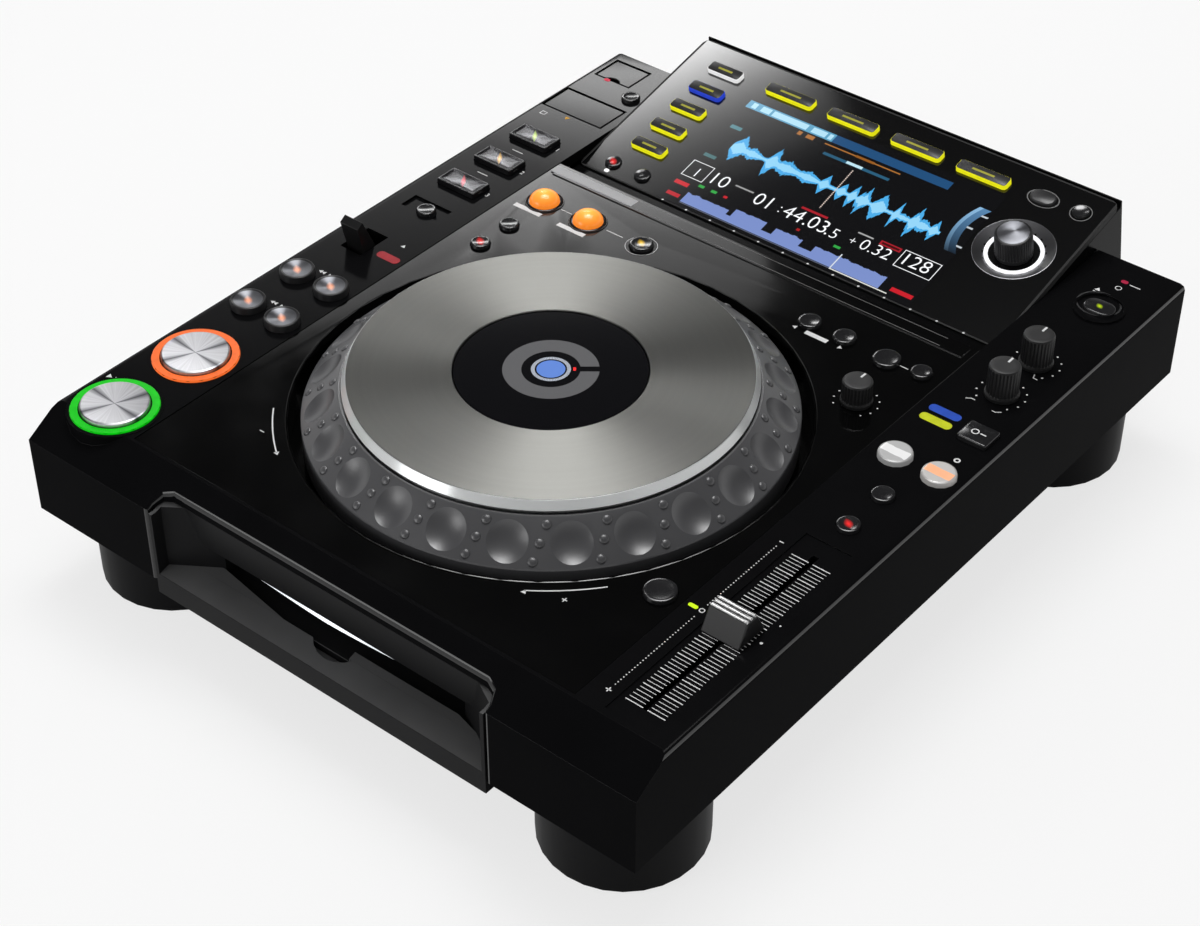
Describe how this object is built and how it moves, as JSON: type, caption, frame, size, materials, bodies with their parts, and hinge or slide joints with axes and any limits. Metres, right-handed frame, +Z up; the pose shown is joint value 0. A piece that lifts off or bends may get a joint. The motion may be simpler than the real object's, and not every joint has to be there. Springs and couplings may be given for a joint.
{
  "type": "tabletop dj cd player",
  "caption": "Tabletop DJ disc player with a jog wheel, tilted display, lit buttons, tempo slider and a disc slot at the front.",
  "frame": {"origin": "on the surface it stands on, under the middle of its outline", "axes": "+X to the player's right as the user stands in front, +Y to the rear, +Z up"},
  "size_m": [0.31, 0.397, 0.0987],
  "materials": {
    "case_black": "satin black moulded plastic",
    "deck_gloss": "polished black plate",
    "base_black": "black painted steel with round feet",
    "slot_black": "dark grey moulded plastic",
    "screen_black": "black glass look with a lit display",
    "ring_grey": "smooth grey moulded plastic",
    "platter_metal": "spun aluminium with a polished rim",
    "window_black": "polished black window",
    "button_metal": "brushed metal face",
    "cap_metal": "dished dark metal face",
    "button_black": "glossy black button",
    "lamp_amber": "lit amber dome",
    "lamp_white": "lit white dome",
    "key_yellow": "black key with a lit yellow skirt",
    "key_blue": "black key with a lit blue skirt",
    "key_white": "black key with a lit white skirt",
    "knob_black": "matte black knob",
    "slider_metal": "ribbed aluminium cap",
    "drive_metal": "thin plated sheet metal",
    "board_green": "green circuit board"
  },
  "bodies": {
    "chassis": {"top_case": "case_black", "base_plate": "base_black", "deck_plate": "deck_gloss", "slot_guide": "slot_black", "display_housing": "case_black", "display_screen": "screen_black", "jog_hub": "window_black", "disc_drive": "drive_metal", "main_board": "board_green", "power_supply": "drive_metal"},
    "jog_wheel": {"jog_ring": "ring_grey", "jog_platter": "platter_metal"},
    "play_button": {"play_button": "button_metal"},
    "cue_button": {"cue_button": "button_metal"},
    "search_back_button": {"search_back_button": "cap_metal"},
    "search_forward_button": {"search_forward_button": "cap_metal"},
    "track_back_button": {"track_back_button": "cap_metal"},
    "track_forward_button": {"track_forward_button": "cap_metal"},
    "record_mode_button": {"record_mode_button": "button_black"},
    "usb_stop_button": {"usb_stop_button": "button_black"},
    "sync_button": {"sync_button": "lamp_white"},
    "master_button": {"master_button": "lamp_amber"},
    "tempo_range_button": {"tempo_range_button": "button_black"},
    "master_tempo_button": {"master_tempo_button": "button_black"},
    "loop_in_button": {"loop_in_button": "lamp_amber"},
    "loop_out_button": {"loop_out_button": "lamp_amber"},
    "reloop_button": {"reloop_button": "button_black"},
    "slip_button": {"slip_button": "button_black"},
    "quantize_button": {"quantize_button": "button_black"},
    "call_back_button": {"call_back_button": "button_black"},
    "call_forward_button": {"call_forward_button": "button_black"},
    "delete_button": {"delete_button": "button_black"},
    "memory_button": {"memory_button": "button_black"},
    "tempo_reset_button": {"tempo_reset_button": "button_black"},
    "hot_cue_a_pad": {"hot_cue_a_pad": "cap_metal"},
    "hot_cue_b_pad": {"hot_cue_b_pad": "cap_metal"},
    "hot_cue_c_pad": {"hot_cue_c_pad": "cap_metal"},
    "eject_button": {"eject_button": "button_black"},
    "jog_mode_button": {"jog_mode_button": "button_black"},
    "source_key_1": {"source_key_1": "key_white"},
    "source_key_2": {"source_key_2": "key_blue"},
    "source_key_3": {"source_key_3": "key_yellow"},
    "source_key_4": {"source_key_4": "key_yellow"},
    "source_key_5": {"source_key_5": "key_yellow"},
    "browse_key_1": {"browse_key_1": "key_yellow"},
    "browse_key_2": {"browse_key_2": "key_yellow"},
    "browse_key_3": {"browse_key_3": "key_yellow"},
    "browse_key_4": {"browse_key_4": "key_yellow"},
    "back_button": {"back_button": "button_black"},
    "tag_button": {"tag_button": "button_black"},
    "time_mode_button": {"time_mode_button": "button_black"},
    "auto_cue_button": {"auto_cue_button": "button_black"},
    "start_speed_knob": {"start_speed_knob": "knob_black"},
    "stop_speed_knob": {"stop_speed_knob": "knob_black"},
    "jog_adjust_knob": {"jog_adjust_knob": "knob_black"},
    "selector_knob": {"selector_knob": "knob_black"},
    "direction_lever": {"direction_lever": "knob_black"},
    "card_door": {"card_door": "case_black"},
    "usb_cover": {"usb_cover": "case_black"},
    "tempo_slider": {"tempo_slider": "slider_metal"}
  },
  "joints": [
    {"name": "jog_spin", "type": "hinge", "parent": "chassis", "child": "jog_wheel", "pos_m": [0.0005, -0.05975, 0.085], "axis": [0, 0, 1], "continuous": true},
    {"name": "play_button_press", "type": "slide", "parent": "chassis", "child": "play_button", "axis": [0, 0, -1], "range_m": [0, 0.0015], "stiffness_N_per_m": 500},
    {"name": "cue_button_press", "type": "slide", "parent": "chassis", "child": "cue_button", "axis": [0, 0, -1], "range_m": [0, 0.0015], "stiffness_N_per_m": 500},
    {"name": "search_back_button_press", "type": "slide", "parent": "chassis", "child": "search_back_button", "axis": [0, 0, -1], "range_m": [0, 0.0012], "stiffness_N_per_m": 500},
    {"name": "search_forward_button_press", "type": "slide", "parent": "chassis", "child": "search_forward_button", "axis": [0, 0, -1], "range_m": [0, 0.0012], "stiffness_N_per_m": 500},
    {"name": "track_back_button_press", "type": "slide", "parent": "chassis", "child": "track_back_button", "axis": [0, 0, -1], "range_m": [0, 0.0012], "stiffness_N_per_m": 500},
    {"name": "track_forward_button_press", "type": "slide", "parent": "chassis", "child": "track_forward_button", "axis": [0, 0, -1], "range_m": [0, 0.0012], "stiffness_N_per_m": 500},
    {"name": "record_mode_button_press", "type": "slide", "parent": "chassis", "child": "record_mode_button", "axis": [0, 0, -1], "range_m": [0, 0.0008], "stiffness_N_per_m": 500},
    {"name": "usb_stop_button_press", "type": "slide", "parent": "chassis", "child": "usb_stop_button", "axis": [0, 0, -1], "range_m": [0, 0.0008], "stiffness_N_per_m": 500},
    {"name": "sync_button_press", "type": "slide", "parent": "chassis", "child": "sync_button", "axis": [0, 0, -1], "range_m": [0, 0.001], "stiffness_N_per_m": 500},
    {"name": "master_button_press", "type": "slide", "parent": "chassis", "child": "master_button", "axis": [0, 0, -1], "range_m": [0, 0.001], "stiffness_N_per_m": 500},
    {"name": "tempo_range_button_press", "type": "slide", "parent": "chassis", "child": "tempo_range_button", "axis": [0, 0, -1], "range_m": [0, 0.0008], "stiffness_N_per_m": 500},
    {"name": "master_tempo_button_press", "type": "slide", "parent": "chassis", "child": "master_tempo_button", "axis": [0, 0, -1], "range_m": [0, 0.0008], "stiffness_N_per_m": 500},
    {"name": "loop_in_button_press", "type": "slide", "parent": "chassis", "child": "loop_in_button", "axis": [0, 0, -1], "range_m": [0, 0.0012], "stiffness_N_per_m": 500},
    {"name": "loop_out_button_press", "type": "slide", "parent": "chassis", "child": "loop_out_button", "axis": [0, 0, -1], "range_m": [0, 0.0012], "stiffness_N_per_m": 500},
    {"name": "reloop_button_press", "type": "slide", "parent": "chassis", "child": "reloop_button", "axis": [0, 0, -1], "range_m": [0, 0.0008], "stiffness_N_per_m": 500},
    {"name": "slip_button_press", "type": "slide", "parent": "chassis", "child": "slip_button", "axis": [0, 0, -1], "range_m": [0, 0.0008], "stiffness_N_per_m": 500},
    {"name": "quantize_button_press", "type": "slide", "parent": "chassis", "child": "quantize_button", "axis": [0, 0, -1], "range_m": [0, 0.0008], "stiffness_N_per_m": 500},
    {"name": "call_back_button_press", "type": "slide", "parent": "chassis", "child": "call_back_button", "axis": [0, 0, -1], "range_m": [0, 0.0008], "stiffness_N_per_m": 500},
    {"name": "call_forward_button_press", "type": "slide", "parent": "chassis", "child": "call_forward_button", "axis": [0, 0, -1], "range_m": [0, 0.0008], "stiffness_N_per_m": 500},
    {"name": "delete_button_press", "type": "slide", "parent": "chassis", "child": "delete_button", "axis": [0, 0, -1], "range_m": [0, 0.0008], "stiffness_N_per_m": 500},
    {"name": "memory_button_press", "type": "slide", "parent": "chassis", "child": "memory_button", "axis": [0, 0, -1], "range_m": [0, 0.0008], "stiffness_N_per_m": 500},
    {"name": "tempo_reset_button_press", "type": "slide", "parent": "chassis", "child": "tempo_reset_button", "axis": [0, 0, -1], "range_m": [0, 0.0008], "stiffness_N_per_m": 500},
    {"name": "hot_cue_a_pad_press", "type": "slide", "parent": "chassis", "child": "hot_cue_a_pad", "axis": [0, 0, -1], "range_m": [0, 0.001], "stiffness_N_per_m": 500},
    {"name": "hot_cue_b_pad_press", "type": "slide", "parent": "chassis", "child": "hot_cue_b_pad", "axis": [0, 0, -1], "range_m": [0, 0.001], "stiffness_N_per_m": 500},
    {"name": "hot_cue_c_pad_press", "type": "slide", "parent": "chassis", "child": "hot_cue_c_pad", "axis": [0, 0, -1], "range_m": [0, 0.001], "stiffness_N_per_m": 500},
    {"name": "eject_button_press", "type": "slide", "parent": "chassis", "child": "eject_button", "axis": [0, 0, -1], "range_m": [0, 0.001], "stiffness_N_per_m": 500},
    {"name": "jog_mode_button_press", "type": "slide", "parent": "chassis", "child": "jog_mode_button", "axis": [0, 0, -1], "range_m": [0, 0.001], "stiffness_N_per_m": 500},
    {"name": "source_key_1_press", "type": "slide", "parent": "chassis", "child": "source_key_1", "axis": [0, 0.23, -0.9732], "range_m": [0, 0.0008], "stiffness_N_per_m": 500},
    {"name": "source_key_2_press", "type": "slide", "parent": "chassis", "child": "source_key_2", "axis": [0, 0.23, -0.9732], "range_m": [0, 0.0008], "stiffness_N_per_m": 500},
    {"name": "source_key_3_press", "type": "slide", "parent": "chassis", "child": "source_key_3", "axis": [0, 0.23, -0.9732], "range_m": [0, 0.0008], "stiffness_N_per_m": 500},
    {"name": "source_key_4_press", "type": "slide", "parent": "chassis", "child": "source_key_4", "axis": [0, 0.23, -0.9732], "range_m": [0, 0.0008], "stiffness_N_per_m": 500},
    {"name": "source_key_5_press", "type": "slide", "parent": "chassis", "child": "source_key_5", "axis": [0, 0.23, -0.9732], "range_m": [0, 0.0008], "stiffness_N_per_m": 500},
    {"name": "browse_key_1_press", "type": "slide", "parent": "chassis", "child": "browse_key_1", "axis": [0, 0.23, -0.9732], "range_m": [0, 0.0008], "stiffness_N_per_m": 500},
    {"name": "browse_key_2_press", "type": "slide", "parent": "chassis", "child": "browse_key_2", "axis": [0, 0.23, -0.9732], "range_m": [0, 0.0008], "stiffness_N_per_m": 500},
    {"name": "browse_key_3_press", "type": "slide", "parent": "chassis", "child": "browse_key_3", "axis": [0, 0.23, -0.9732], "range_m": [0, 0.0008], "stiffness_N_per_m": 500},
    {"name": "browse_key_4_press", "type": "slide", "parent": "chassis", "child": "browse_key_4", "axis": [0, 0.23, -0.9732], "range_m": [0, 0.0008], "stiffness_N_per_m": 500},
    {"name": "back_button_press", "type": "slide", "parent": "chassis", "child": "back_button", "axis": [0, 0.23, -0.9732], "range_m": [0, 0.0008], "stiffness_N_per_m": 500},
    {"name": "tag_button_press", "type": "slide", "parent": "chassis", "child": "tag_button", "axis": [0, 0.23, -0.9732], "range_m": [0, 0.0008], "stiffness_N_per_m": 500},
    {"name": "time_mode_button_press", "type": "slide", "parent": "chassis", "child": "time_mode_button", "axis": [0, 0.23, -0.9732], "range_m": [0, 0.0008], "stiffness_N_per_m": 500},
    {"name": "auto_cue_button_press", "type": "slide", "parent": "chassis", "child": "auto_cue_button", "axis": [0, 0.23, -0.9732], "range_m": [0, 0.0008], "stiffness_N_per_m": 500},
    {"name": "start_speed_turn", "type": "hinge", "parent": "chassis", "child": "start_speed_knob", "pos_m": [0.13485, 0.08646, 0.08], "axis": [0, 0, 1], "range_deg": [-150, 150]},
    {"name": "stop_speed_turn", "type": "hinge", "parent": "chassis", "child": "stop_speed_knob", "pos_m": [0.13531, 0.06001, 0.08], "axis": [0, 0, 1], "range_deg": [-150, 150]},
    {"name": "jog_adjust_turn", "type": "hinge", "parent": "chassis", "child": "jog_adjust_knob", "pos_m": [0.09259, 0.01979, 0.08], "axis": [0, 0, 1], "range_deg": [-150, 150]},
    {"name": "selector_turn", "type": "hinge", "parent": "chassis", "child": "selector_knob", "pos_m": [0.08792, 0.14363, 0.08588], "axis": [0, -0.23, 0.9732], "continuous": true},
    {"name": "direction_rock", "type": "hinge", "parent": "chassis", "child": "direction_lever", "pos_m": [-0.13733, -0.02255, 0.073], "axis": [-1, 0, 0], "range_deg": [0, 38]},
    {"name": "card_door_hinge", "type": "hinge", "parent": "chassis", "child": "card_door", "pos_m": [-0.13454, 0.13133, 0.07892], "axis": [-1, 0, 0], "range_deg": [0, 100]},
    {"name": "usb_cover_hinge", "type": "hinge", "parent": "chassis", "child": "usb_cover", "pos_m": [-0.13997, 0.16619, 0.07892], "axis": [-1, 0, 0], "range_deg": [0, 100]},
    {"name": "tempo_slide", "type": "slide", "parent": "chassis", "child": "tempo_slider", "axis": [0, 1, 0], "range_m": [-0.049, 0.049]}
  ]
}
